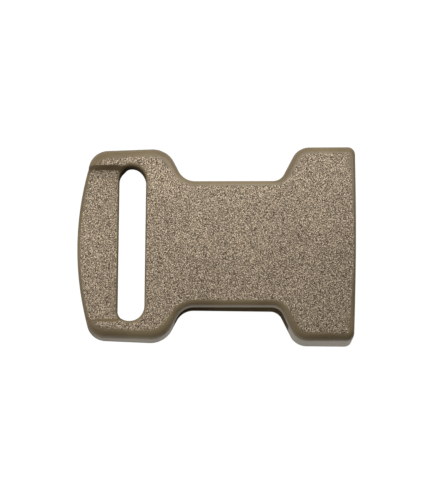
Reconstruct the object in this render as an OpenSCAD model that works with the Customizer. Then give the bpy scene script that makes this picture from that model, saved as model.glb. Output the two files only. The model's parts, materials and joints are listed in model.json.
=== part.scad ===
// Socket of a side release buckle for 25 mm webbing: the female half, moulded in one piece.
// +X points out of the mouth, Y runs across the webbing, +Z is up, and the socket lies on z = 0.

/* [Overall size] */
// Length along X, from the bar's outer edge to the mouth
socket_length = 50; // [47:0.5:60]
// Height of the top face at the mouth
mouth_height = 11.6; // [10.8:0.1:14]
// Height of the top face at the bar's outer edge, where it has sloped down
heel_height = 7.2; // [6.8:0.1:8.5]
// How far the top face falls from its middle to the sides of the mouth lobes
crown_fall = 0.6; // [0:0.1:1]

/* [Outline] */
// Width across the two lobes at the mouth
mouth_width = 35.2; // [33:0.2:42]
// Length of the mouth lobes' straight sides, back from the mouth
mouth_lobe_length = 10.4; // [8:0.1:13]
// How far the middle of the mouth's edge stands out past its ends
mouth_bow = 0.2; // [0:0.05:0.6]
// Width across the loop's end lobes, at the shoulder
loop_width = 34.9; // [33.5:0.1:42]
// Angle by which each side of the loop widens towards the mouth
loop_flare = 1.8; // [0:0.1:3]
// Width of the waist between the two side notches
waist_width = 22.7; // [18:0.1:26]
// Length of the waist's straight sides, between the feet of the shoulders
waist_length = 17.4; // [14:0.1:19]
// Angle between a shoulder's slanted side and X
shoulder_angle = 63.5; // [50:0.5:75]
// Radius of the bar's outer edge, seen from above
heel_radius = 54; // [45:1:90]

/* [Outline corners, seen from above] */
// Radius at the loop's outer corners
heel_corner_r = 3.8; // [2:0.1:4]
// Radius at the loop's shoulder
loop_shoulder_r = 4.4; // [1.5:0.1:5]
// Radius at the loop's end of the notch
notch_rear_r = 3.4; // [1:0.1:4]
// Radius at the mouth's end of the notch
notch_front_r = 2.3; // [1:0.1:3.5]
// Radius at the mouth's shoulder
mouth_shoulder_r = 3.3; // [1.8:0.1:4]
// Radius at the mouth's corners
mouth_corner_r = 0.6; // [0.4:0.1:2]

/* [Webbing slot and bar] */
// Length of the slot across the webbing
slot_length = 28; // [26.5:0.1:29]
// Width of the slot along X
slot_width = 4.9; // [4.2:0.1:6]
// Width of the bar along X, at its middle
bar_width = 7.4; // [5:0.1:9]
// Corner radius of the slot on the bar's side
slot_bar_r = 2.1; // [0.9:0.1:2.4]
// Corner radius of the slot on the body's side
slot_body_r = 2.6; // [1:0.1:3]
// How far each end of the slot flares out from the top face to the underside
slot_flare = 0.7; // [0:0.05:1]
// How far the bar's top lies below the end lobes
bar_drop = 1.8; // [0.8:0.1:2.2]
// How far the bar's underside lies above the lobes' underside
bar_lift = 1.2; // [0.6:0.1:1.6]
// How far the step's foot stands in from the slot's end
step_inset = 0.35; // [0.2:0.05:0.6]

/* [Cavity] */
// Thickness of the top plate
top_plate = 2.7; // [2:0.1:3.2]
// Thickness of the bottom plate
bottom_plate = 1.7; // [1.5:0.1:2.2]
// Thickness of the closed web between the slot and the cavity
web_thickness = 3.3; // [2:0.1:4.5]
// Thickness of the solid side walls at the mouth, whose inner ends hold the latch
mouth_wall = 4.3; // [3:0.1:6]
// Width of the cavity behind the side windows
back_width = 20; // [14:0.5:22]
// Distance from the mouth back to the latch shoulders, where the side windows start
latch_depth = 12; // [11:0.1:14]
// Length of each side window along X
window_length = 20.3; // [15:0.1:21]
// Size of the lead-in bevel round the mouth's opening
lead_in = 0.7; // [0.3:0.1:1]

/* [Edge rounding] */
// Radius along the lobes' top edges
lobe_edge_r = 1.25; // [0.8:0.05:1.5]
// Radius along the waist's top edges
waist_edge_r = 0.8; // [0.4:0.05:1.2]
// Radius along the underside's edges
underside_edge_r = 1.3; // [0.6:0.05:1.4]
// Radius along the bar's outer edges
bar_edge_r = 0.65; // [0.3:0.05:1]
// Radius along the mouth's top edge
mouth_edge_r = 0.4; // [0.2:0.05:0.6]
// Radius along the mouth's bottom edge
mouth_under_edge_r = 0.8; // [0.3:0.05:0.9]
// Radius along the slot's edges, beside the bar and the body
slot_edge_r = 0.35; // [0.2:0.05:0.5]
// Radius along the slot's top edge at its two ends
slot_end_edge_r = 0.5; // [0.3:0.05:0.8]

/* [Hidden] */

// Chords in a corner seen from above, in an edge's rounding, along the bar and along the step at
// its end, and rows from the middle of the body to its side
corner_steps = 6;
edge_steps = 4;
bar_steps = 5;
step_steps = 4;
body_rows = 5;

// How far a cut runs past the face that it opens
past = 1;
// The least radius that a corner keeps as it is drawn inwards, the share of the slot's width that the
// body's side corner may fill, and the share of the room left beside it, or outside the step, that the
// other corners may fill
least_r = 0.05;
body_corner_fill = 0.6;
corner_fill = 0.98;

front_x = socket_length / 2;
rear_x = -socket_length / 2;
slope = (mouth_height - heel_height) / socket_length;

// Places of the shoulders and the notch along X
shoulder_run = 1 / tan(shoulder_angle);
mouth_shoulder_x = front_x - mouth_lobe_length;
notch_front_x = mouth_shoulder_x - (mouth_width - waist_width) / 2 * shoulder_run;
notch_rear_x = notch_front_x - waist_length;
loop_shoulder_x = notch_rear_x - (loop_width - waist_width) / 2 * shoulder_run;

// Places of the slot, of its rounded corners, and of the steps between the bar and the end lobes
slot_rear_x = rear_x + bar_width;
slot_front_x = slot_rear_x + slot_width;
body_corner_r = min(slot_body_r, body_corner_fill * slot_width);
bar_corner_r = min(slot_bar_r, corner_fill * slot_width - body_corner_r);
slot_bar_centre = [slot_rear_x + bar_corner_r, slot_length / 2 - bar_corner_r];
slot_body_centre = [slot_front_x - body_corner_r, slot_length / 2 - body_corner_r];
crest_y = slot_length / 2 + slot_end_edge_r;
foot_y = slot_length / 2 - step_inset;
foot_angle = asin((foot_y - slot_bar_centre.y) / (bar_corner_r + slot_edge_r));

// Places of the cavity
cavity_rear_x = slot_front_x + web_thickness;
latch_x = front_x - latch_depth;
window_rear_x = latch_x - window_length;

// Height of the crowned top face, and of the flat that the bar's top lies in
function top_at(x, y) = mouth_height - slope * (front_x - x) - crown_fall * pow(2 * y / mouth_width, 2);
function bar_top_at(x) = top_at(x, crest_y) - bar_drop;
// Height of the cavity's flat ceiling, a plate's thickness under the top face where the waist ends
function ceiling_at(x) = top_at(x, waist_width / 2) - top_plate;

// Plane geometry: turned vectors, the meeting point of two lines, and a rounded corner
function turned(v, a) = [v.x * cos(a) - v.y * sin(a), v.x * sin(a) + v.y * cos(a)];
function right_of(v) = [v.y, -v.x];
function cross2(a, b) = a.x * b.y - a.y * b.x;
function meeting(p, u, q, v) = p + u * cross2(q - p, v) / cross2(u, v);
function turn_between(u, v) = atan2(cross2(u, v), u * v);
function corner_reach(u, v) = tan(abs(turn_between(u, v)) / 2);
function rounded_corner(c, u, v, r) =
    let (
        turn = turn_between(u, v),
        spoke = right_of(u) * (turn < 0 ? r : -r),
        centre = c - u * r * corner_reach(u, v) + spoke
    )
    [for (i = [0:corner_steps]) centre + turned(-spoke, turn * i / corner_steps)];

// The outline's straight lines, from the loop to the mouth, on the side where y is positive:
// loop side, rear shoulder, notch, front shoulder, lobe side and mouth
line_points = [
    [loop_shoulder_x, loop_width / 2],
    [notch_rear_x, waist_width / 2],
    [notch_front_x, waist_width / 2],
    [notch_front_x, waist_width / 2],
    [mouth_shoulder_x, mouth_width / 2],
    [front_x - mouth_bow, 0]
];
line_directions = [
    [cos(loop_flare), sin(loop_flare)],
    [cos(shoulder_angle), -sin(shoulder_angle)],
    [1, 0],
    [cos(shoulder_angle), sin(shoulder_angle)],
    [1, 0],
    [0, -1]
];

// Radius of each corner, and whether it bends outwards (1) or inwards (-1)
corner_radii = [
    heel_corner_r, loop_shoulder_r, notch_rear_r, notch_front_r, mouth_shoulder_r, mouth_corner_r
];
corner_bends = [1, 1, -1, -1, 1, 1];
last_corner = len(corner_radii) - 1;

// Edge radii on the bar and along the six lines, for the top and for the underside
shoulder_edge_r = (lobe_edge_r + waist_edge_r) / 2;
top_edges = [
    bar_edge_r, lobe_edge_r, shoulder_edge_r, waist_edge_r, shoulder_edge_r, lobe_edge_r, mouth_edge_r
];
under_edges = [
    bar_edge_r, underside_edge_r, underside_edge_r, underside_edge_r, underside_edge_r,
    underside_edge_r, mouth_under_edge_r
];

// Distances from the middle at which the bar has points, out to the step's foot, and then the crest
side_rows = [for (i = [0:bar_steps - 1]) slot_bar_centre.y * i / bar_steps];
foot_angles = [0, foot_angle / 2, foot_angle];
foot_rows = [for (a = foot_angles) slot_bar_centre.y + (bar_corner_r + slot_edge_r) * sin(a)];
heel_rows = [each side_rows, each foot_rows, crest_y];
function heel_x(y, inset) = rear_x + heel_radius - sqrt(pow(heel_radius - inset, 2) - y * y);

// Half of the outline, from the bar's middle to the mouth's, drawn inwards by a share of the edge radii
function half_outline(edges, share) =
    let (
        insets = edges * share,
        heel = [for (y = heel_rows) [heel_x(y, insets[0]), y]],
        crest = heel[len(heel) - 1],
        lean = asin(crest_y / (heel_radius - insets[0])),
        points = [
            crest,
            for (k = [0:last_corner]) line_points[k] + right_of(line_directions[k]) * insets[k + 1]
        ],
        directions = [[sin(lean), cos(lean)], each line_directions],
        corners = [
            for (k = [0:last_corner]) meeting(points[k], directions[k], points[k + 1], directions[k + 1])
        ],
        // The loop's outer corner starts past the step's crest
        heel_room = norm(corners[0] - crest) / corner_reach(directions[0], directions[1]),
        drawn_radii = [
            for (k = [0:last_corner]) corner_radii[k] - corner_bends[k] * (insets[k] + insets[k + 1]) / 2
        ],
        radii = [
            for (k = [0:last_corner])
                let (room = k == 0 ? corner_fill * heel_room : drawn_radii[k])
                    max(least_r, min(drawn_radii[k], room))
        ],
        bends = [
            for (k = [0:last_corner])
                each rounded_corner(corners[k], directions[k], directions[k + 1], radii[k])
        ],
        end = bends[len(bends) - 1],
        mouth = [
            for (row = [body_rows - 1:-1:0])
                let (t = row / body_rows) [end.x + mouth_bow * (1 - t * t), end.y * t]
        ]
    )
    [each heel, each bends, each mouth];

// Edge radius at each point of half the outline: it changes evenly round each corner
function half_edges(edges) = [
    for (y = heel_rows) edges[0],
    for (k = [0:last_corner])
        for (i = [0:corner_steps]) edges[k] + (edges[k + 1] - edges[k]) * i / corner_steps,
    for (row = [1:body_rows]) edges[last_corner + 1]
];

// How far each point of half the outline is sunk with the bar: wholly up to the step's foot
half_sinks = [for (i = [0:len(half_edges(top_edges)) - 1]) i < len(heel_rows) - 1 ? 1 : 0];

// Half of the slot's outline, from the bar's side to the body's side, drawn outwards by a share of the
// edge radii. On the underside its end is flared, from the step's foot round to the body's side
step_angles = [for (i = [1:step_steps]) foot_angle + (90 - foot_angle) * i / step_steps];
slot_body_angles = [for (i = [0:corner_steps]) 90 * i / corner_steps];
function end_edge(share, top) = slot_edge_r + (top ? share * (slot_end_edge_r - slot_edge_r) : 0);
function half_slot_edges(top) = [
    for (y = side_rows) slot_edge_r,
    for (a = foot_angles) slot_edge_r,
    for (i = [1:step_steps]) end_edge(i / step_steps, top),
    for (i = [corner_steps:-1:0]) end_edge(i / corner_steps, top),
    for (row = [1:body_rows]) slot_edge_r
];
function half_slot(top, share) =
    let (
        outsets = half_slot_edges(top) * share,
        arc_start = len(side_rows),
        bar_angles = [each foot_angles, each step_angles],
        body_start = arc_start + len(bar_angles),
        flare = top ? 0 : slot_flare,
        side = [for (y = side_rows) [slot_rear_x - outsets[0], y]],
        bar_corner = [
            for (i = [0:len(bar_angles) - 1])
                let (a = bar_angles[i], flared = max(0, sin(a) - sin(foot_angle)) / (1 - sin(foot_angle)))
                    slot_bar_centre + (bar_corner_r + outsets[arc_start + i]) * [-cos(a), sin(a)]
                    + [0, flare * flared]
        ],
        body_corner = [
            for (i = [0:corner_steps])
                let (a = slot_body_angles[i])
                    slot_body_centre + (body_corner_r + outsets[body_start + i]) * [sin(a), cos(a)]
                    + [0, flare * cos(a)]
        ],
        body_side = [
            for (row = [body_rows - 1:-1:0])
                [slot_front_x + outsets[0], slot_body_centre.y * row / body_rows]
        ]
    )
    [each side, each bar_corner, each body_corner, each body_side];

// How far each point of half the slot is sunk: it runs out between the step's foot and its crest
step_count = len(side_rows) + len(foot_angles) + step_steps;
function sunk(p) = max(0, min(1, (crest_y - p.y) / (crest_y - foot_y)));
function half_slot_sinks(top) =
    let (points = half_slot(top, 1))
    [for (i = [0:len(points) - 1]) i < step_count ? sunk(points[i]) : 0];

// A half with its mirror image, run round the whole shape clockwise as seen from above
function both_halves(half) = [
    each half,
    for (i = [len(half) - 2:-1:1]) is_list(half[i]) ? [half[i].x, -half[i].y] : half[i]
];

// A ring of points round a shape, at one angle of its edge rounding, on the top or on the underside
function placed(p, fall, sink, up) =
    [p.x, p.y, up ? top_at(p.x, p.y) * (1 - sink) + bar_top_at(p.x) * sink - fall : bar_lift * sink + fall];
function ring(half, half_radii, sinks, a, up) =
    let (
        flat = both_halves(half),
        radii = both_halves(half_radii),
        all_sinks = both_halves(sinks)
    )
    [for (i = [0:len(flat) - 1]) placed(flat[i], radii[i] * (1 - cos(a)), all_sinks[i], up)];
function outline_ring(edges, a, up) =
    ring(half_outline(edges, 1 - sin(a)), half_edges(edges), half_sinks, a, up);
function slot_ring(a, up) =
    ring(half_slot(up, 1 - sin(a)), half_slot_edges(up), half_slot_sinks(up), a, up);

// Rings from the top face's edge down the wall to the underside's edge
edge_angles = [for (i = [0:edge_steps]) 90 * i / edge_steps];
outline_rings = [
    for (i = [0:edge_steps]) outline_ring(top_edges, edge_angles[i], true),
    for (i = [edge_steps:-1:0]) outline_ring(under_edges, edge_angles[i], false)
];
slot_rings = [
    for (i = [0:edge_steps]) slot_ring(edge_angles[i], true),
    for (i = [edge_steps:-1:0]) slot_ring(edge_angles[i], false)
];

// The body's top and underside are grids: columns from the slot to the mouth, rows out to the sides
first_column = len(heel_rows) + corner_steps + 1;
column_count = last_corner * (corner_steps + 1) + 1;
function grid_points(edge_ring, up) = [
    for (column = [1:column_count - 2])
        for (row = [1 - body_rows:body_rows - 1])
            let (side = edge_ring[first_column + column - 1], y = side.y * row / body_rows)
            [side.x, y, up ? top_at(side.x, y) : 0]
];
top_grid = grid_points(outline_rings[0], true);
under_grid = grid_points(outline_rings[len(outline_rings) - 1], false);

// Where each ring and grid starts in the list of points
ring_count = len(outline_rings);
outline_count = len(outline_rings[0]);
slot_count = len(slot_rings[0]);
slot_start = ring_count * outline_count;
top_start = slot_start + ring_count * slot_count;
under_start = top_start + len(top_grid);

// Place in the list of a point on half the outline, on half the slot, or in the grid, for either side
function on_outline(up, i, side) =
    (up ? 0 : ring_count - 1) * outline_count + (side > 0 ? i : (outline_count - i) % outline_count);
function on_slot(up, i, side) =
    slot_start + (up ? 0 : ring_count - 1) * slot_count + (side > 0 ? i : (slot_count - i) % slot_count);
function in_grid(up, column, row, side) =
    column == 0 ? on_slot(up, len(half_slot_edges(up)) - 1 - row, side)
    : row == body_rows ? on_outline(up, first_column + column - 1, side)
    : column == column_count - 1 ? on_outline(up, len(half_sinks) - 1 - row, side)
    : (up ? top_start : under_start) + (column - 1) * (2 * body_rows - 1) + side * row + body_rows - 1;

// Triangles between neighbouring rings, facing out of the solid
function wall_faces(start, count, outward) = [
    for (level = [0:ring_count - 2])
        for (i = [0:count - 1])
            let (
                a = start + level * count + i,
                b = start + level * count + (i + 1) % count,
                c = a + count,
                d = b + count
            )
            each outward ? [[b, a, c], [b, c, d]] : [[a, b, c], [c, b, d]]
];

// Triangles of one side's half of the top or the underside: bar, step, end lobe and body
function cap_faces(up, side) =
    let (
        foot = len(heel_rows) - 2,
        crest = foot + 1,
        slot_crest = foot + len(step_angles),
        lobe_end = crest + corner_steps + 1,
        slot_corner = slot_crest + 1,
        bar = [
            for (i = [0:foot - 1])
                each [
                    [on_outline(up, i + 1, side), on_slot(up, i + 1, side), on_slot(up, i, side)],
                    [on_outline(up, i + 1, side), on_slot(up, i, side), on_outline(up, i, side)]
                ]
        ],
        step = [
            [on_outline(up, foot, side), on_outline(up, crest, side), on_slot(up, slot_crest, side)],
            for (i = [foot:slot_crest - 1])
                [on_outline(up, foot, side), on_slot(up, i + 1, side), on_slot(up, i, side)]
        ],
        lobe = [
            for (i = [crest:lobe_end])
                [on_slot(up, slot_crest, side), on_outline(up, i, side), on_outline(up, i + 1, side)],
            for (i = [slot_crest:slot_corner + corner_steps - 1])
                [on_outline(up, lobe_end + 1, side), on_slot(up, i + 1, side), on_slot(up, i, side)]
        ],
        body = [
            for (column = [0:column_count - 2])
                for (row = [0:body_rows - 1])
                    let (
                        a = in_grid(up, column, row + 1, side),
                        b = in_grid(up, column + 1, row + 1, side),
                        c = in_grid(up, column + 1, row, side),
                        d = in_grid(up, column, row, side)
                    )
                    each [[a, b, c], [a, c, d]]
        ]
    )
    [for (face = [each bar, each step, each lobe, each body])
        up == (side > 0) ? face : [face[2], face[1], face[0]]];

// The whole outer shape with its rounded edges, the slot and the sunk bar, before it is hollowed
module shell() {
    polyhedron(
        points = [
            for (points = outline_rings) each points,
            for (points = slot_rings) each points,
            each top_grid,
            each under_grid
        ],
        faces = [
            each wall_faces(0, outline_count, true),
            each wall_faces(slot_start, slot_count, false),
            for (up = [true, false], side = [1, -1]) each cap_faces(up, side)
        ],
        convexity = 8
    );
}

// Side view of the cavity, which opens at the mouth with its lead-in bevel
module cavity_side_view() {
    lead_x = front_x - lead_in;
    polygon([
        [cavity_rear_x, bottom_plate],
        [lead_x, bottom_plate],
        [front_x + past, bottom_plate - lead_in - past],
        [front_x + past, ceiling_at(front_x) + lead_in + past],
        [lead_x, ceiling_at(lead_x)],
        [cavity_rear_x, ceiling_at(cavity_rear_x)]
    ]);
}

// Half of the cavity seen from above: the back, the side window and the throat at the mouth
module cavity_half_plan() {
    throat = mouth_width / 2 - mouth_wall;
    outside = mouth_width / 2 + past;
    polygon([
        [cavity_rear_x, -past],
        [cavity_rear_x, back_width / 2],
        [window_rear_x, back_width / 2],
        [window_rear_x, outside],
        [latch_x, outside],
        [latch_x, throat],
        [front_x - lead_in, throat],
        [front_x + past, throat + lead_in + past],
        [front_x + past, -past]
    ]);
}

module cavity() {
    intersection() {
        rotate([90, 0, 0])
            linear_extrude(height = mouth_width + 4 * past, center = true)
                cavity_side_view();
        linear_extrude(height = mouth_height + past) {
            cavity_half_plan();
            mirror([0, 1]) cavity_half_plan();
        }
    }
}

module socket() {
    color([0.57, 0.51, 0.45])
        difference() {
            shell();
            cavity();
        }
}

socket();
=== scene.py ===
# %% [markdown]
# The socket of a side release buckle: the female half, moulded in one piece of tan plastic. It lies
# flat on a pale floor and is seen from almost straight above. The webbing slot is on the left, the
# hollow body with its side windows in the middle, and the mouth on the right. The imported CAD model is
# the fixed frame. This scene builds one finer moulding in its place, in the same frame and with the
# same main sizes.

import json
import math

import bpy
from mathutils import Matrix, Vector
from mathutils.kdtree import KDTree

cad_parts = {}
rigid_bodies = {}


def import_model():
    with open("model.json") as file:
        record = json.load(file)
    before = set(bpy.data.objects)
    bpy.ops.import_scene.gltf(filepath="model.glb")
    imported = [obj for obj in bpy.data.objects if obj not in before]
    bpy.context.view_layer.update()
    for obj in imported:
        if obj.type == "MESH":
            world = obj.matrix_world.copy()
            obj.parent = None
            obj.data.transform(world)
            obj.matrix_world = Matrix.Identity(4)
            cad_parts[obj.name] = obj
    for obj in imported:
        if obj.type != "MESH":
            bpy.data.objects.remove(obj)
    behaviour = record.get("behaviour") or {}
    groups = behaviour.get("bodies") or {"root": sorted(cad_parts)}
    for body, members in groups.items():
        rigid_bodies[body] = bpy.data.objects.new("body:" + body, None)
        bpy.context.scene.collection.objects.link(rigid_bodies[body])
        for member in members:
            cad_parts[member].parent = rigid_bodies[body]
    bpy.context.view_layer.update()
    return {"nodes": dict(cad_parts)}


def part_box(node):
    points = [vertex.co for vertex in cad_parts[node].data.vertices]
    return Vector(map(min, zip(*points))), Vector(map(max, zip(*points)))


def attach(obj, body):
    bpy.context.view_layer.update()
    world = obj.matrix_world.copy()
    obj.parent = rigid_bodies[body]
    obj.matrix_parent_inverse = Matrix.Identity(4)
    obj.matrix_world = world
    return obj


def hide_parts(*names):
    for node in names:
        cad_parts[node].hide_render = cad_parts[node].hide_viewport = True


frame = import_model()
CAD_LOW, CAD_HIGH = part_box("socket")
MM = 0.001
print("CAD box in mm:", [round(v / MM, 2) for v in (*CAD_LOW, *CAD_HIGH)])

# %% [markdown]
# The sizes are in millimetres, as on a drawing, and are turned into metres only where a point is
# placed. The mouth faces +X, the webbing runs along X, and Y runs across it. Each side of the outline
# is the mirror image of the other, so only the side where y is positive is written down.

# %% Sizes of the moulding
FRONT = CAD_HIGH.x / MM
REAR = CAD_LOW.x / MM
HALF_WIDTH = CAD_HIGH.y / MM
MOUTH_HEIGHT = 11.6
HEEL_HEIGHT = 7.2
SLOPE = (MOUTH_HEIGHT - HEEL_HEIGHT) / (FRONT - REAR)
CROWN_FALL = 0.6
MOUTH_LOBE_LENGTH = 10.4
MOUTH_BOW = 0.2
LOOP_HALF = 17.45
LOOP_FLARE = math.radians(1.8)
WAIST_HALF = 11.35
WAIST_LENGTH = 17.4
SHOULDER_ANGLE = math.radians(63.5)
HEEL_RADIUS = 54
BAR_CREST = 14.5

SLOT_REAR = -17.6
SLOT_FRONT = -12.7
SLOT_HALF = 14
SLOT_BAR_R = 2.1
SLOT_BODY_R = 2.6
SLOT_FLARE = 0.7
SLOT_TIP = SLOT_REAR + SLOT_BAR_R
BAR_DROP = 1.8
BAR_LIFT = 1.2

CAVITY_REAR = -9.4
LATCH_X = 13
WINDOW_REAR = -7.3
THROAT_HALF = 13.3
BACK_HALF = 10
BOTTOM_PLATE = 1.7
TOP_PLATE = 2.7
LEAD_IN = 0.7


def top_at(x):
    """Height of the sloped top face before it is crowned."""
    return MOUTH_HEIGHT - SLOPE * (FRONT - x)


def fall_at(y):
    """How far the crown brings the top face down at a distance y from the middle."""
    return CROWN_FALL * (y / HALF_WIDTH) ** 2


def heel_x(y):
    """The bar's outer edge, an arc seen from above."""
    return REAR + HEEL_RADIUS - math.sqrt(HEEL_RADIUS ** 2 - y * y)


print("top face: %.1f mm at the mouth, %.1f mm at the bar" % (top_at(FRONT), top_at(REAR)))

# %% [markdown]
# Operators act on whatever is selected, and loading the frame leaves its parts selected. So there is
# one small helper that clears the selection, and one that picks vertices, edges or faces of a piece
# by a test of their place, and leaves the piece in edit mode ready for the next operator.

# %% Selection helpers
KINDS = {"VERT": "vertices", "EDGE": "edges", "FACE": "polygons"}


def only(piece):
    """Selects one object alone, in object mode."""
    if bpy.context.object and bpy.context.object.mode != "OBJECT":
        bpy.ops.object.mode_set(mode="OBJECT")
    bpy.ops.object.select_all(action="DESELECT")
    piece.select_set(True)
    bpy.context.view_layer.objects.active = piece


def middle(piece, part):
    """The middle of a vertex, edge or face, in millimetres."""
    if hasattr(part, "co"):
        return part.co / MM
    corners = [piece.data.vertices[v].co for v in part.vertices]
    return sum(corners, Vector()) / len(corners) / MM


def pick(piece, kind, test):
    """Selects the parts of one kind whose middle and self pass the test, and enters edit mode."""
    only(piece)
    for name in KINDS.values():
        parts = getattr(piece.data, name)
        parts.foreach_set("select", [False] * len(parts))
    chosen = [p for p in getattr(piece.data, KINDS[kind]) if test(middle(piece, p), p)]
    for part in chosen:
        part.select = True
    bpy.context.tool_settings.mesh_select_mode = [kind == k for k in KINDS]
    bpy.ops.object.mode_set(mode="EDIT")
    return len(chosen)


def everything(centre, part):
    return True


def apply_modifier(piece, modifier):
    only(piece)
    bpy.ops.object.modifier_apply(modifier=modifier.name)


def open_edges(piece):
    """How many edges don't join exactly two faces: none on a closed solid."""
    uses = {}
    for face in piece.data.polygons:
        for key in face.edge_keys:
            uses[key] = uses.get(key, 0) + 1
    return sum(n != 2 for n in uses.values())


# %% [markdown]
# Every solid here starts as a flat face seen from above, which is then extruded up. A circle
# primitive with one vertex for each corner gives that face, and its vertices are moved to the corners.
# A corner is rounded with a vertex bevel. The bevel's curve is a true circle only for a square corner,
# so its profile is worked out from the angle by which the outline turns there.

# %% Flat faces and rounded corners
NEAR = 0.01
ON_LINE = 0.001


def plan_face(name, corners, z):
    """A flat face through corners given in millimetres, seen from above."""
    only(frame["nodes"]["socket"])
    bpy.ops.mesh.primitive_circle_add(vertices=len(corners), fill_type="NGON", radius=FRONT * MM)
    piece = bpy.context.object
    piece.name = name
    for vertex, (x, y) in zip(piece.data.vertices, corners):
        vertex.co = Vector((x, y, z)) * MM
    return piece


def round_corner(piece, corner, radius, turn, segments):
    """Rounds the corners at (x, y) and (x, -y) to a radius, where the outline turns by an angle."""
    half = turn / 2
    reach = 1 / math.cos(half) - 1
    midway = reach / (2 * math.tan(half) * math.sin(half))
    pick(piece, "VERT",
         lambda c, v: abs(c.x - corner[0]) < NEAR and abs(abs(c.y) - corner[1]) < NEAR)
    bpy.ops.mesh.bevel(offset_type="ABSOLUTE", offset=radius * math.tan(half) * MM, affect="VERTICES",
                       segments=segments, profile=(1 - midway) ** 2, clamp_overlap=False)


def extrude_up(piece, height):
    pick(piece, "FACE", everything)
    bpy.ops.mesh.extrude_region_move(TRANSFORM_OT_translate={"value": (0, 0, height * MM)})
    bpy.ops.mesh.select_all(action="SELECT")
    bpy.ops.mesh.normals_make_consistent(inside=False)


ON_PLANE = 1e-7


def cut_off_above(piece, x, z):
    """Cuts a piece along a plane with the top face's slope through (x, z), and keeps what is below."""
    pick(piece, "FACE", everything)
    bpy.ops.mesh.bisect(plane_co=(x * MM, 0, z * MM), plane_no=(-SLOPE, 0, 1),
                        use_fill=True, clear_outer=True, threshold=ON_PLANE)


# %% [markdown]
# The outline has seven corners on each side: the end of the bar's arc, the loop's outer corner and its
# shoulder, the two corners of the notch, the mouth's shoulder, and the mouth's corner. The same outline
# is drawn three times: at its full width, where its rounded edge meets the top face, and where its
# rounded edge meets the underside. The real edges are rounded most on the lobes that the fingers hold,
# less on the waist, and least at the bar and the mouth, so each side is set in by its own radius. A
# fourth outline, a little further in, is where the texture of the top face ends.

# %% Outline seen from above
SHOULDER_RUN = 1 / math.tan(SHOULDER_ANGLE)
MOUTH_SHOULDER = FRONT - MOUTH_LOBE_LENGTH
NOTCH_FRONT = MOUTH_SHOULDER - (HALF_WIDTH - WAIST_HALF) * SHOULDER_RUN
NOTCH_REAR = NOTCH_FRONT - WAIST_LENGTH
LOOP_SHOULDER = NOTCH_REAR - (LOOP_HALF - WAIST_HALF) * SHOULDER_RUN

square = math.pi / 2
bar_lean = math.asin(BAR_CREST / HEEL_RADIUS)
bar_end = (heel_x(BAR_CREST), BAR_CREST)
side_rise = math.tan(LOOP_FLARE)
side_y_at_bar_end = LOOP_HALF + (bar_end[0] - LOOP_SHOULDER) * side_rise
corner_climb = (side_y_at_bar_end - BAR_CREST) / (1 - math.tan(bar_lean) * side_rise)
heel_corner = (bar_end[0] + corner_climb * math.tan(bar_lean), BAR_CREST + corner_climb)


def inward(heading):
    """The direction into the body from a side that runs towards the mouth with this heading."""
    return (math.sin(heading), -math.cos(heading))


side_headings = [square - bar_lean, LOOP_FLARE, -SHOULDER_ANGLE, 0, SHOULDER_ANGLE, 0, -square]
SIDES = len(side_headings)
corners = [
    heel_corner,
    (LOOP_SHOULDER, LOOP_HALF),
    (NOTCH_REAR, WAIST_HALF),
    (NOTCH_FRONT, WAIST_HALF),
    (MOUTH_SHOULDER, HALF_WIDTH),
    (FRONT - MOUTH_BOW, HALF_WIDTH),
]
HEEL_CORNER_R, LOOP_SHOULDER_R, NOTCH_REAR_R = 3.5, 4.4, 3.4
NOTCH_FRONT_R, MOUTH_SHOULDER_R = 2.3, 3.3
SIDE_RADII = [HEEL_CORNER_R, LOOP_SHOULDER_R, NOTCH_REAR_R, NOTCH_FRONT_R, MOUTH_SHOULDER_R]
MOUTH_CORNER, TOP_MOUTH_CORNER, UNDER_MOUTH_CORNER = 1.3, 0.9, 1.6
LOBE_EDGE, SHOULDER_EDGE, WAIST_EDGE, BAR_EDGE, MOUTH_EDGE = 1.5, 1.2, 0.95, 0.65, 0.4
UNDER_EDGE, MOUTH_UNDER_EDGE = 1.3, 0.8
FULL = [0] * SIDES
TOP_EDGES = [LOBE_EDGE, LOBE_EDGE, SHOULDER_EDGE, WAIST_EDGE, SHOULDER_EDGE, LOBE_EDGE, MOUTH_EDGE]
RIMS = [0.3, 0.5, 0.3, 0.35, 0.3, 0.15, 0.02]
BAR_RIM = 0.1
TEXTURE_EDGES = [edge + rim for edge, rim in zip(TOP_EDGES, RIMS)]
UNDER_EDGES = [*[UNDER_EDGE] * (SIDES - 1), MOUTH_UNDER_EDGE]
CORNER_STEPS = 10
print("corners in mm:", [(round(x, 1), round(y, 1)) for x, y in corners])


def set_in(corner, first, second):
    """A corner moved inwards, where each side is given by its inward direction and how far it moves."""
    (n, a), (m, b) = first, second
    turned = n[0] * m[1] - n[1] * m[0]
    return (corner[0] + (a * m[1] - b * n[1]) / turned, corner[1] + (n[0] * b - m[0] * a) / turned)


# %% [markdown]
# The bar's outer edge is a long arc, and the mouth's edge bows out by a fifth of a millimetre. Each is
# first drawn as one straight edge, which is then subdivided, and its new vertices are moved onto the
# curve. The bar's edge is less rounded than the lobe's at its end, so the bar has an inset of its own.

# %% The two curved sides
MOUTH_CUTS, HEEL_CUTS = 15, 23


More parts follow.
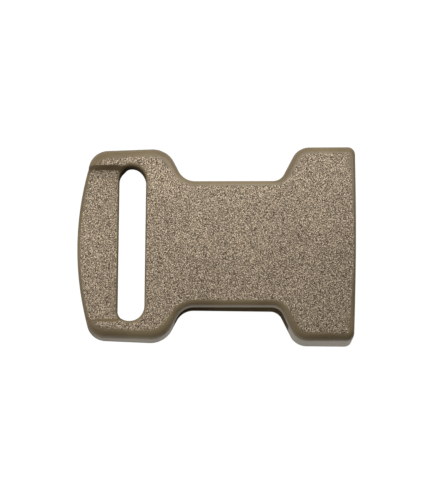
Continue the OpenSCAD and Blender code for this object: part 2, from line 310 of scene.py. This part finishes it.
def outline_face(name, insets, bar_inset, mouth_corner):
    """The outline as a flat face with rounded corners, with each side set in by its own amount."""
    sides = [(inward(heading), inset) for heading, inset in zip(side_headings, insets)]
    into, end_inset = sides[0]
    half = [(bar_end[0] + end_inset * into[0], bar_end[1] + end_inset * into[1])]
    half += [set_in(corner, a, b) for corner, a, b in zip(corners, sides, sides[1:])]
    face = plan_face(name, [*half[::-1], *[(x, -y) for x, y in half]], 0)
    for i, radius in enumerate([*SIDE_RADII, mouth_corner]):
        turn = side_headings[i] - side_headings[i + 1]
        wider = (insets[i] + insets[i + 1]) / 2 if turn < 0 else 0
        round_corner(face, half[i + 1], radius + wider, abs(turn), CORNER_STEPS)
    pick(face, "EDGE", lambda c, e: c.x > 0 and abs(c.y) < NEAR)
    bpy.ops.mesh.subdivide(number_cuts=MOUTH_CUTS)
    pick(face, "EDGE", lambda c, e: c.x < 0 and abs(c.y) < NEAR)
    bpy.ops.mesh.subdivide(number_cuts=HEEL_CUTS)
    only(face)
    front_line = FRONT - MOUTH_BOW - insets[-1]
    for vertex in face.data.vertices:
        x, y = vertex.co.x / MM, vertex.co.y / MM
        if abs(x - front_line) < ON_LINE:
            vertex.co.x += MOUTH_BOW * (1 - (y / HALF_WIDTH) ** 2) * MM
        elif x < half[0][0] + NEAR and abs(y) < half[0][1] - NEAR:
            vertex.co.x = (REAR + HEEL_RADIUS - math.sqrt((HEEL_RADIUS - bar_inset) ** 2 - y * y)) * MM
    return face


def corner_points(face):
    """The places of a flat face's vertices in millimetres, and the face is deleted."""
    points = [vertex.co.xy / MM for vertex in face.data.vertices]
    bpy.data.objects.remove(face)
    return points


texture_line = corner_points(
    outline_face("texture_line", TEXTURE_EDGES, BAR_EDGE + BAR_RIM, TOP_MOUTH_CORNER))
top_line = corner_points(outline_face("top_line", TOP_EDGES, BAR_EDGE, TOP_MOUTH_CORNER))
under_line = corner_points(outline_face("under_line", UNDER_EDGES, BAR_EDGE, UNDER_MOUTH_CORNER))
socket = outline_face("socket_moulding", FULL, 0, MOUTH_CORNER)
full_order = list(socket.data.polygons[0].vertices)
full_line = [vertex.co.xy / MM for vertex in socket.data.vertices]
print("outline:", len(full_line), "vertices")

# %% [markdown]
# The full outline is extruded up ring by ring: six rings round the lower edge, one for the wall, and
# six more round the upper edge. The rings then move onto quarter circles between the full outline and
# the two inner ones, and one last ring moves in to where the texture ends. A bevel would round the
# edges in one step, but with one width all along each edge and an uneven patch where two widths meet.
# The rings pass smoothly from the wide edge of a lobe to the narrow one of the waist. The real moulding
# is thickest at the mouth, where the plug goes in, and thin at the bar, so the top rings follow the
# slope of the top face.

# %% The solid body with its rounded edges
RING_STEPS = 6
LEVELS = 2 * RING_STEPS + 1


def steps(low, high, count):
    return [low + (high - low) * i / count for i in range(count + 1)]


def extrude_rings(piece, count):
    """Extrudes a flat face up a millimetre at a time, and finds each vertex's ring and its place."""
    places = KDTree(len(piece.data.vertices))
    for vertex in piece.data.vertices:
        places.insert(vertex.co / MM, vertex.index)
    places.balance()
    pick(piece, "FACE", everything)
    for ring in range(count):
        bpy.ops.mesh.extrude_region_move(TRANSFORM_OT_translate={"value": (0, 0, MM)})
    bpy.ops.mesh.select_all(action="SELECT")
    bpy.ops.mesh.normals_make_consistent(inside=False)
    only(piece)
    found = []
    for vertex in piece.data.vertices:
        x, y, z = vertex.co / MM
        found.append((vertex, round(z), places.find((x, y, 0))[1]))
    return found


def quarter_circle(wall, flat, angle):
    """A point of a rounded edge, seen from above, and its depth below the flat face."""
    run = flat - wall
    return wall + run * (1 - math.cos(angle)), run.length * (1 - math.sin(angle))


for vertex, ring, i in extrude_rings(socket, LEVELS + 1):
    if ring > LEVELS:
        vertex.co = Vector((*texture_line[i], top_at(texture_line[i].x))) * MM
    elif ring > RING_STEPS:
        angle = square * (ring - RING_STEPS - 1) / RING_STEPS
        point, depth = quarter_circle(full_line[i], top_line[i], angle)
        vertex.co = Vector((*point, top_at(point.x) - depth)) * MM
    else:
        angle = square * (RING_STEPS - ring) / RING_STEPS
        point, depth = quarter_circle(full_line[i], under_line[i], angle)
        vertex.co = Vector((*point, depth)) * MM
print("body:", len(socket.data.polygons), "faces, open edges", open_edges(socket))

# %% [markdown]
# The webbing slot is cut with a boolean. Its cutter flares at both ends like a trumpet, so the cut
# leaves the edges rounded as well, with a wider curve at the slot's ends than along its sides, where a
# bevel afterwards would have to change its width. The cutter runs on a little past the faces. Each end of the slot also leans
# outwards towards the underside, which lets the moulding leave its tool. The lean fades out along the
# rounded corners, so the slot's long sides stay upright. Before the cut the body is bisected lengthwise
# and across the middle of the slot, so that the slot bites into the edges of four simple faces and
# leaves no face with a hole in it.

# %% Webbing slot
def bisect_rows(piece, places, axis, test=lambda centre: True):
    """Bisects the faces that pass the test at each place along an axis, in millimetres."""
    for place in places:
        pick(piece, "FACE", lambda c, f: test(c))
        point, normal = [0, 0, 0], [0, 0, 0]
        point[axis], normal[axis] = place * MM, 1
        bpy.ops.mesh.bisect(plane_co=point, plane_no=normal, threshold=ON_PLANE)


def cut_with(piece, cutter):
    """Takes the cutter's shape out of a piece and deletes the cutter."""
    only(piece)
    cut = piece.modifiers.new("cut", "BOOLEAN")
    cut.operation = "DIFFERENCE"
    cut.solver = "EXACT"
    cut.object = cutter
    apply_modifier(piece, cut)
    bpy.data.objects.remove(cutter)


def between(value, low, high):
    """Where a value lies between two others, as a share from 0 to 1."""
    return max(0, min(1, (value - low) / (high - low)))


PAST = 1
JUST_PAST = 0.05
END_LEAN = SLOT_FLARE / top_at(SLOT_TIP)
BAR_CORNER_LEAN = 0.7
SLOT_EDGE, SLOT_END_EDGE = 0.35, 0.75
FLARE_END = math.radians(75)


def slot_face(name, wider, longer):
    """The slot as a flat face with rounded corners, made wider and longer on every side."""
    grown = (wider + longer) / 2
    rear, front, half = SLOT_REAR - wider, SLOT_FRONT + wider, SLOT_HALF + longer
    face = plan_face(name, [(front, half), (rear, half), (rear, -half), (front, -half)], 0)
    round_corner(face, (rear, half), SLOT_BAR_R + grown, square, CORNER_STEPS)
    round_corner(face, (front, half), SLOT_BODY_R + grown, square, CORNER_STEPS)
    only(face)
    return face


def trumpet(wall, flat, share):
    """A point of the cutter's flare, and its depth below the face: share 1 ends just past the face."""
    if share < 1:
        return quarter_circle(wall, flat, FLARE_END * share * RING_STEPS / (RING_STEPS - 1))
    point, depth = quarter_circle(wall, flat, FLARE_END)
    onward = (depth + JUST_PAST) / math.cos(FLARE_END)
    return point + (flat - wall).normalized() * onward * math.sin(FLARE_END), -JUST_PAST


def leaned(place):
    """A point of the slot's wall in millimetres, moved outwards with the lean of the slot's end."""
    from_y = SLOT_HALF - (SLOT_BODY_R if place.x > SLOT_TIP else BAR_CORNER_LEAN)
    lean = END_LEAN * (top_at(SLOT_TIP) - place.z) * between(abs(place.y), from_y, SLOT_HALF)
    return place + Vector((0, math.copysign(lean, place.y), 0))


slot_top_line = corner_points(slot_face("slot_top_line", SLOT_EDGE, SLOT_END_EDGE))
slot_under_line = corner_points(slot_face("slot_under_line", SLOT_EDGE, SLOT_EDGE))
slot_cutter = slot_face("slot_cutter", 0, 0)
slot_order = list(slot_cutter.data.polygons[0].vertices)
slot_line = [vertex.co.xy / MM for vertex in slot_cutter.data.vertices]
for vertex, ring, i in extrude_rings(slot_cutter, LEVELS):
    if ring > RING_STEPS:
        point, depth = trumpet(slot_line[i], slot_top_line[i], (ring - RING_STEPS - 1) / RING_STEPS)
        place = Vector((*point, top_at(point.x) - depth))
    else:
        point, depth = trumpet(slot_line[i], slot_under_line[i], (RING_STEPS - ring) / RING_STEPS)
        place = Vector((*point, depth))
    vertex.co = leaned(place) * MM

SLOT_MIDDLE = (SLOT_TIP + SLOT_FRONT - SLOT_BODY_R) / 2
bisect_rows(socket, [0], 1)
bisect_rows(socket, [SLOT_MIDDLE], 0)
cut_with(socket, slot_cutter)
print("slot cut: open edges", open_edges(socket))

# %% [markdown]
# The cavity takes the plug: its root fills the throat at the mouth, and its middle guide reaches the
# narrower back. The body could be put together from plates and walls, but a cut leaves one closed
# solid, as the moulding is. The cutter has a ceiling that slopes with the top face, and its front end
# flares into a lead-in, a short bevel round the mouth that the plug slides against.

# %% Cavity
def ceiling_at(x):
    return top_at(x) - fall_at(WAIST_HALF) - TOP_PLATE


half_cavity = [
    (FRONT + PAST, THROAT_HALF + LEAD_IN + PAST),
    (FRONT - LEAD_IN, THROAT_HALF),
    (LATCH_X, THROAT_HALF),
    (LATCH_X, BACK_HALF),
    (CAVITY_REAR, BACK_HALF),
]
cavity_plan = [*half_cavity, *[(x, -y) for x, y in half_cavity[::-1]]]
cavity_cutter = plan_face("cavity_cutter", cavity_plan, BOTTOM_PLATE)
extrude_up(cavity_cutter, MOUTH_HEIGHT)
cut_off_above(cavity_cutter, FRONT, ceiling_at(FRONT))
bisect_rows(cavity_cutter, [FRONT - LEAD_IN], 0)
only(cavity_cutter)
for vertex in cavity_cutter.data.vertices:
    if vertex.co.x > (FRONT + PAST / 2) * MM:
        rise = LEAD_IN + PAST
        vertex.co.z += (rise if vertex.co.z > MOUTH_HEIGHT / 2 * MM else -rise) * MM
cut_with(socket, cavity_cutter)
print("after the cavity, open edges", open_edges(socket))

# %% [markdown]
# The plug's arms spring out into the side windows, behind the two latch shoulders. The tool that cores
# the windows out has rounded ends, so its cutter's four long edges are bevelled before the cut.

# %% Side windows
WINDOW_PAST_LATCH = 0.3
WINDOW_FRONT = LATCH_X + WINDOW_PAST_LATCH
WINDOW_END_R, WINDOW_END_STEPS = 0.5, 5
OUTSIDE = HALF_WIDTH + PAST
window_ends = [(WINDOW_FRONT, OUTSIDE), (WINDOW_REAR, OUTSIDE)]
window_plan = [*window_ends, *[(x, -y) for x, y in window_ends[::-1]]]
window_cutter = plan_face("window_cutter", window_plan, BOTTOM_PLATE)
extrude_up(window_cutter, MOUTH_HEIGHT)
cut_off_above(window_cutter, FRONT, ceiling_at(FRONT))
ends = pick(window_cutter, "EDGE", lambda c, e: abs(c.y) < PAST)
bpy.ops.mesh.bevel(offset=WINDOW_END_R * MM, segments=WINDOW_END_STEPS, affect="EDGES",
                   clamp_overlap=False)
cut_with(socket, window_cutter)
print("window ends rounded:", ends, "edges; open edges", open_edges(socket))

# %% [markdown]
# The web bar lies lower than the lobes at its ends, on top and underneath, so that the wrapped webbing
# stays level with the body. Between bar and lobe is a short steep step. Its crest is in line with the
# rounded end of the slot, and turns in to meet it at the slot's tip. Towards the bar's outer edge the
# step gets steeper and its crest comes in a little. The loop is bisected into fine rows and columns
# there, and then its vertices are lowered, and below they are raised, by a smooth step. The rounded
# edges go down with it, as they do on the real part. The bar could be a piece of its own, but then its
# steps wouldn't flow into the lobes. From here on only the half on the side of positive
# y is kept and shaped, and a mirror adds the other half after the top is crowned.

# %% Sunk web bar
pick(socket, "FACE", everything)
bpy.ops.mesh.bisect(plane_co=(0, 0, 0), plane_no=(0, 1, 0), clear_inner=True, threshold=ON_PLANE)


def smooth_step(t):
    return t * t * (3 - 2 * t)


CREST_IN, CREST_IN_LENGTH = 0.5, 3
STEP_RUN, OUTER_RUN, OUTER_CREST_IN, OUTER_REACH = 1.15, 0.5, 0.3, 4.5
PAST_CREST = 0.1
STEP_ROWS, STEP_COLUMNS = 17, 8
step_rows = steps(BAR_CREST - CREST_IN - STEP_RUN, BAR_CREST + PAST_CREST, STEP_ROWS)
bisect_rows(socket, [SLOT_TIP], 0)
bisect_rows(socket, step_rows, 1, lambda c: c.x < SLOT_TIP)
bisect_rows(socket, steps(SLOT_TIP - CREST_IN_LENGTH, SLOT_TIP, STEP_COLUMNS)[:-1], 0,
            lambda c: c.x < SLOT_TIP and c.y > step_rows[0])


def sunk_share(x, y):
    """How far a point of the loop is sunk with the bar: 1 on the bar, 0 on the lobes."""
    if x > SLOT_TIP - ON_LINE:
        return 0
    turned_in = CREST_IN * smooth_step(between(x, SLOT_TIP - CREST_IN_LENGTH, SLOT_TIP))
    outer = between(SLOT_TIP - CREST_IN_LENGTH - x, 0, OUTER_REACH)
    run = STEP_RUN + (OUTER_RUN - STEP_RUN) * outer
    return smooth_step(between(BAR_CREST - turned_in - OUTER_CREST_IN * outer - abs(y), 0, run))


only(socket)
for vertex in socket.data.vertices:
    x, y, z = vertex.co / MM
    vertex.co.z += (-BAR_DROP if z > top_at(x) / 2 else BAR_LIFT) * sunk_share(x, y) * MM
print("bar sunk: open edges", open_edges(socket))

# %% [markdown]
# The top face isn't flat: it falls a little towards both sides, which a long highlight across the
# body shows. The whole moulding is bisected into rows along X and columns along Y, so that the crown
# has vertices to bend at. A vertex falls by its full share at the top face and not at all at the
# cavity's ceiling or on the underside, so the top plate thins slightly towards its sides. A lattice
# could bend the top too, but it would take the ceiling along.

# %% Crowned top
CROWN_ROWS, CROWN_COLUMNS = 9, 16
CLEAR_OF_EDGE = 1
LOOP_FALL_START = BAR_LIFT + 1
WELD = 0.0002
bisect_rows(socket, steps(0, HALF_WIDTH - CLEAR_OF_EDGE, CROWN_ROWS)[1:], 1)
bisect_rows(socket, steps(SLOT_FRONT + CLEAR_OF_EDGE, FRONT - CLEAR_OF_EDGE, CROWN_COLUMNS), 0)
only(socket)
for vertex in socket.data.vertices:
    x, y, z = vertex.co / MM
    start = ceiling_at(x) if x > CAVITY_REAR else LOOP_FALL_START
    in_bar = x < SLOT_TIP and abs(y) < BAR_CREST
    fall = fall_at(BAR_CREST if in_bar else y)
    top = top_at(x) - (BAR_DROP if in_bar else 0)
    vertex.co.z -= fall * between(z, start, top) * MM
other_half = socket.modifiers.new("other_half", "MIRROR")
other_half.use_axis = (False, True, False)
other_half.merge_threshold = WELD * MM
apply_modifier(socket, other_half)
box_mm = [round(v / MM, 2) for v in socket.dimensions]
print("crowned: box in mm", box_mm, "open edges", open_edges(socket))

# %% [markdown]
# The flat faces carry a fine moulded texture, and the rounded edges are smooth. The material has to
# know which is which, so each vertex keeps a number, from 0 on a flat face to 1 on an upright wall. It
# comes from how far the vertex lies inside the outline or outside the slot, measured against the width
# of the rounded edge there. The steep part of the step beside the bar is smooth too. A mask painted by
# hand would need the piece unwrapped, and would stretch in the corners.

# %% Where the texture ends
SAMPLE = 0.05
STEP_SMOOTH = 2.2


def edge_band(wall_line, flat_line, order):
    """Finely spaced points along a wall, and the width of the rounded edge at each of them."""
    samples = []
    for i, j in zip(order, order[1:] + order[:1]):
        count = math.ceil((wall_line[j] - wall_line[i]).length / SAMPLE)
        for k in range(count):
            wall = wall_line[i].lerp(wall_line[j], k / count)
            samples.append((wall, (flat_line[i].lerp(flat_line[j], k / count) - wall).length))
    tree = KDTree(len(samples))
    for i, (wall, width) in enumerate(samples):
        tree.insert((*wall, 0), i)
    tree.balance()
    return tree, [width for wall, width in samples]


def turned_over(x, y, band):
    """How far a rounded edge has turned over: 0 on the flat face and 1 at the wall."""
    tree, widths = band
    wall, i, distance = tree.find((x, y, 0))
    return math.asin(between(widths[i] - distance, 0, widths[i])) / square


slot_foot = [leaned(Vector((*point, 0))).xy for point in slot_line]
slot_foot_flat = [leaned(Vector((*point, 0))).xy for point in slot_under_line]
top_bands = [
    edge_band(full_line, texture_line, full_order),
    edge_band(slot_line, slot_top_line, slot_order),
]
under_bands = [
    edge_band(full_line, under_line, full_order),
    edge_band(slot_foot, slot_foot_flat, slot_order),
]
only(socket)
roundness = socket.data.attributes.new("roundness", "FLOAT", "POINT")
textured_count = 0
for vertex in socket.data.vertices:
    x, y, z = vertex.co / MM
    bands = top_bands if z > top_at(x) / 2 else under_bands
    share = sunk_share(x, y)
    value = max(STEP_SMOOTH * share * (1 - share), *[turned_over(x, y, band) for band in bands])
    if x > CAVITY_REAR - SAMPLE and BOTTOM_PLATE - SAMPLE < z < ceiling_at(x) + SAMPLE:
        value = 1
    roundness.data[vertex.index].value = value
    textured_count += value == 0
print("vertices on flat faces:", textured_count, "of", len(socket.data.vertices))

# %% [markdown]
# Neighbouring faces that meet at less than about thirty degrees are shaded as one surface. The Weighted
# Normal modifier then lets the large flat faces keep their own direction, so that the shading turns
# only in the narrow rounded edges.

# %% Smooth shading
SMOOTH_BELOW = math.radians(32)
only(socket)
bpy.ops.object.mode_set(mode="EDIT")
bpy.ops.mesh.select_all(action="SELECT")
bpy.ops.mesh.remove_doubles(threshold=WELD * MM)
bpy.ops.mesh.normals_make_consistent(inside=False)
only(socket)
bpy.ops.object.shade_smooth_by_angle(angle=SMOOTH_BELOW)
steady = socket.modifiers.new("steady", "WEIGHTED_NORMAL")
steady.keep_sharp = True
apply_modifier(socket, steady)
print("finished mesh:", len(socket.data.polygons), "faces, open edges", open_edges(socket))

# %% [markdown]
# A few short helpers keep the node graph readable. Every size in the material is given in millimetres
# on the real object, because the coordinates are the object's own.

# %% Shader helpers
def link(tree, a, b):
    tree.links.new(a, b)


def math_node(tree, operation, first, second=None):
    """Adds a Math node on two sockets or numbers, and gives its result."""
    node = tree.nodes.new("ShaderNodeMath")
    node.operation = operation
    for target, value in zip(node.inputs, (first, second)):
        if isinstance(value, (int, float)):
            target.default_value = value
        elif value is not None:
            link(tree, value, target)
    return node.outputs[0]


def ramp_between(tree, value, low, high, out_low=0.0, out_high=1.0):
    """Turns a value between low and high smoothly into one between out_low and out_high."""
    node = tree.nodes.new("ShaderNodeMapRange")
    node.interpolation_type = "SMOOTHSTEP"
    link(tree, value, node.inputs["Value"])
    limits = {"From Min": low, "From Max": high, "To Min": out_low, "To Max": out_high}
    for name, number in limits.items():
        node.inputs[name].default_value = number
    return node.outputs["Result"]


def noise(tree, place, size_mm, detail=2.0, roughness=0.5):
    """Noise whose lumps are about size_mm across."""
    node = tree.nodes.new("ShaderNodeTexNoise")
    link(tree, place, node.inputs["Vector"])
    node.inputs["Scale"].default_value = 1 / (size_mm * MM)
    node.inputs["Detail"].default_value = detail
    node.inputs["Roughness"].default_value = roughness
    return node.outputs["Fac"]


def cells(tree, place, size_mm):
    """The distance from the middle of the nearest of many cells, about size_mm across."""
    node = tree.nodes.new("ShaderNodeTexVoronoi")
    link(tree, place, node.inputs["Vector"])
    node.inputs["Scale"].default_value = 1 / (size_mm * MM)
    return node.outputs["Distance"]


def mix_colours(tree, share, first, second):
    node = tree.nodes.new("ShaderNodeMix")
    node.data_type = "RGBA"
    for name, value in (("Factor", share), ("A", first), ("B", second)):
        target = [s for s in node.inputs if s.name == name and s.enabled][0]
        if isinstance(value, (float, int, tuple)):
            target.default_value = value
        else:
            link(tree, value, target)
    return [s for s in node.outputs if s.enabled][0]


def srgb(red, green, blue):
    """A colour as it is picked on a screen, from 0 to 255, made linear."""
    return (*[c / 12.92 if c <= 0.04045 else ((c + 0.055) / 1.055) ** 2.4
              for c in (red / 255, green / 255, blue / 255)], 1.0)


# %% [markdown]
# The plastic is a warm tan. Its flat faces come out of a spark-eroded tool, which leaves a fine grain:
# light specks and dark pits, each a quarter of a millimetre or so across. Noise makes the pits and a
# Voronoi pattern the specks. The rounded edges are polished in the tool, so they are plain, a little
# darker and glossier. The border between the two is slightly ragged. The sizes are in millimetres.

# %% Tan moulded plastic
GRAIN_SIZE, SPECK_SIZE, RAGGED_SIZE, CLOUD_SIZE = 0.15, 0.3, 0.45, 9
GRAIN_DEPTH = 0.05
RAGGED_SHARE, SPECK_SHARE, SPECK_RELIEF = 0.25, 0.9, 0.5
PIT, TAN, SPECK = srgb(70, 57, 40), srgb(172, 153, 129), srgb(244, 224, 194)
EDGE_DARK, EDGE_LIGHT = srgb(112, 96, 69), srgb(124, 108, 79)
EDGE_ROUGHNESS, GRAIN_ROUGHNESS = 0.48, 0.68

plastic = bpy.data.materials.new("tan_moulded_plastic")
plastic.use_nodes = True
tree = plastic.node_tree
shader = tree.nodes["Principled BSDF"]
place = tree.nodes.new("ShaderNodeTexCoord").outputs["Object"]
kept = tree.nodes.new("ShaderNodeAttribute")
kept.attribute_name = "roundness"

wander = math_node(tree, "SUBTRACT", noise(tree, place, RAGGED_SIZE, 2.0), 0.5)
ragged = math_node(tree, "MULTIPLY", wander, RAGGED_SHARE)
border = math_node(tree, "ADD", kept.outputs["Fac"], ragged)
textured = ramp_between(tree, border, 0.22, 0.08)

grain = noise(tree, place, GRAIN_SIZE, 0.0)
speck = ramp_between(tree, cells(tree, place, SPECK_SIZE), 0.45, 0.1)
cloud = noise(tree, place, CLOUD_SIZE, 3.0)

grain_colour = mix_colours(tree, ramp_between(tree, grain, 0.4, 0.6), PIT, TAN)
flat_colour = mix_colours(tree, math_node(tree, "MULTIPLY", speck, SPECK_SHARE), grain_colour, SPECK)
edge_colour = mix_colours(tree, ramp_between(tree, cloud, 0.35, 0.65), EDGE_DARK, EDGE_LIGHT)
toned = tree.nodes.new("ShaderNodeHueSaturation")
link(tree, mix_colours(tree, textured, edge_colour, flat_colour), toned.inputs["Color"])
link(tree, ramp_between(tree, cloud, 0.3, 0.7, 0.95, 1.05), toned.inputs["Value"])
link(tree, toned.outputs["Color"], shader.inputs["Base Color"])
roughness = ramp_between(tree, textured, 0.0, 1.0, EDGE_ROUGHNESS, GRAIN_ROUGHNESS)
link(tree, roughness, shader.inputs["Roughness"])
shader.inputs["Specular IOR Level"].default_value = 0.4

bump = tree.nodes.new("ShaderNodeBump")
bump.inputs["Distance"].default_value = GRAIN_DEPTH * MM
link(tree, textured, bump.inputs["Strength"])
raised = math_node(tree, "MULTIPLY", speck, SPECK_RELIEF)
link(tree, math_node(tree, "ADD", grain, raised), bump.inputs["Height"])
link(tree, bump.outputs["Normal"], shader.inputs["Normal"])
socket.data.materials.append(plastic)
print("plastic:", len(tree.nodes), "nodes")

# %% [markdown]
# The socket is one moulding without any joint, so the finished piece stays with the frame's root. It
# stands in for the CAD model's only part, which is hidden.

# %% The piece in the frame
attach(socket, "root")
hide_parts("socket")

# %% [markdown]
# The part was photographed on white, with no shadow. The floor is a plain sheet that looks evenly white
# to the camera. It is nearly black itself and glows for all other rays: painted bounce light from the
# open sheet all round, turned almost off under the part and in its slot as painted shade.

# %% Floor
FLOOR_SIZE_M, FLOOR_DROP = 2, 0.05
SHADE_ENDS, SHEET_OPENS = 0.8, 3.8
PAINTED_SHADE_GLOW, PAINTED_BOUNCE_GLOW = 0.01, 0.95
only(socket)
bpy.ops.mesh.primitive_plane_add(size=FLOOR_SIZE_M, location=(0, 0, -FLOOR_DROP * MM))
floor = bpy.context.object
floor.name = "floor"
paper = bpy.data.materials.new("white_floor")
paper.use_nodes = True
paper_tree = paper.node_tree
sheet = paper_tree.nodes["Principled BSDF"]
# Nearly black, so the light it throws back on the part is the painted glow below, not lit paper.
sheet.inputs["Base Color"].default_value = (0.05, 0.05, 0.05, 1)
sheet.inputs["Roughness"].default_value = 0.9
sheet.inputs["Specular IOR Level"].default_value = 0.0
sheet.inputs["Emission Color"].default_value = (1, 1, 1, 1)
spot = paper_tree.nodes.new("ShaderNodeSeparateXYZ")
link(paper_tree, paper_tree.nodes.new("ShaderNodeTexCoord").outputs["Object"], spot.inputs[0])
from_middle = math_node(paper_tree, "ABSOLUTE", spot.outputs["Y"])
past_waist = math_node(paper_tree, "SUBTRACT", from_middle, WAIST_HALF * MM)
past_slot_end = math_node(paper_tree, "SUBTRACT", from_middle, (SLOT_HALF + 1) * MM)
past_slot_side = math_node(paper_tree, "SUBTRACT", spot.outputs["X"], SLOT_FRONT * MM)
past_loop = math_node(paper_tree, "MAXIMUM", past_slot_end, past_slot_side)
past_side = math_node(paper_tree, "MINIMUM", past_waist, past_loop)
along = math_node(paper_tree, "ABSOLUTE", spot.outputs["X"])
past_end = math_node(paper_tree, "SUBTRACT", along, FRONT * MM)
clear_of_part = math_node(paper_tree, "MAXIMUM", past_end, past_side)
# Painted light: the sheet's glow, bright in the open and almost off under the part as painted shade.
glow_with_painted_shade = ramp_between(paper_tree, clear_of_part, SHADE_ENDS * MM, SHEET_OPENS * MM,
                          PAINTED_SHADE_GLOW, PAINTED_BOUNCE_GLOW)
seen = paper_tree.nodes.new("ShaderNodeLightPath").outputs["Is Camera Ray"]
# The camera sees plain white; all other rays see the painted glow and its painted shade.
link(paper_tree, math_node(paper_tree, "MAXIMUM", seen, glow_with_painted_shade), sheet.inputs["Emission Strength"])
floor.data.materials.append(paper)
print("floor:", len(paper_tree.nodes), "nodes")

# %% [markdown]
# One soft light stands above the far edge and falls off a little across the part, and a weaker one
# lights the bar from the left. A white studio fills the shadows: it is bright overhead and behind the
# part, and dark on the near side, so that little light finds its way into the near window.

# %% Light
BRIGHT_TOWARDS = (0, 0.6, 0.8)
DARK_FROM, BRIGHT_FROM = -0.2, 0.9
DARK_STUDIO, BRIGHT_STUDIO = 0.01, 0.42

world = bpy.data.worlds.new("studio")
bpy.context.scene.world = world
world.use_nodes = True
studio = world.node_tree.nodes["Background"]
studio.inputs["Color"].default_value = (1, 1, 1, 1)
sky_tree = world.node_tree
towards = sky_tree.nodes.new("ShaderNodeVectorMath")
towards.operation = "DOT_PRODUCT"
towards.inputs[1].default_value = BRIGHT_TOWARDS
direction = sky_tree.nodes.new("ShaderNodeTexCoord").outputs["Generated"]
link(sky_tree, direction, towards.inputs[0])
brightness = ramp_between(sky_tree, towards.outputs["Value"], DARK_FROM, BRIGHT_FROM,
                          DARK_STUDIO, BRIGHT_STUDIO)
link(sky_tree, brightness, studio.inputs["Strength"])


def soft_light(name, place_mm, aim_mm, size_mm, watts):
    """A round area light that stands at one place and faces another."""
    data = bpy.data.lights.new(name, "AREA")
    data.shape = "DISK"
    data.size = size_mm * MM
    data.energy = watts
    lamp = bpy.data.objects.new(name, data)
    bpy.context.scene.collection.objects.link(lamp)
    lamp.location = Vector(place_mm) * MM
    facing = Vector(aim_mm) * MM - lamp.location
    lamp.rotation_euler = facing.to_track_quat("-Z", "Y").to_euler()
    print(name, "light:", size_mm, "mm across,", watts, "W")


soft_light("key", place_mm=(0, 48, 68), aim_mm=(0, 4, 5), size_mm=45, watts=0.0435)
soft_light("fill", place_mm=(-56, -16, 44), aim_mm=(-18, -4, 5), size_mm=40, watts=0.010)

# %% [markdown]
# The camera stands more than half a metre above the part and looks down with a tilt of about nine
# degrees, so that a strip of the near walls shows. Its place, its turn and its focal length were found
# by fitting the part's outline to the photograph.

# %% Camera
def turn_x(angle):
    c, s = math.cos(angle), math.sin(angle)
    return Matrix(((1, 0, 0), (0, c, s), (0, -s, c)))


def turn_y(angle):
    c, s = math.cos(angle), math.sin(angle)
    return Matrix(((c, 0, -s), (0, 1, 0), (s, 0, c)))


def turn_z(angle):
    c, s = math.cos(angle), math.sin(angle)
    return Matrix(((c, -s, 0), (s, c, 0), (0, 0, 1)))


TILT, ROLL, PAN = (math.radians(a) for a in (8.789, -0.727, -0.889))
CAMERA_PLACE = Vector((1.125, 1.153, 568.8))
IMAGE_TALL, FOCAL_PX = 488, 3121.7
seen_from = (turn_y(PAN) @ turn_x(TILT) @ turn_z(ROLL)).transposed()
lens = bpy.data.cameras.new("camera")
lens.sensor_fit = "VERTICAL"
lens.angle_y = 2 * math.atan(IMAGE_TALL / 2 / FOCAL_PX)
lens.clip_start, lens.clip_end = 0.01, 10
camera = bpy.data.objects.new("camera", lens)
camera.matrix_world = Matrix.Translation(seen_from @ CAMERA_PLACE * MM) @ seen_from.to_4x4()
bpy.context.scene.collection.objects.link(camera)
bpy.context.scene.camera = camera
bpy.context.scene.view_settings.view_transform = "Standard"
height = camera.matrix_world.translation.z / MM
print("camera: %.0f mm up, tilted by %.1f degrees" % (height, math.degrees(TILT)))
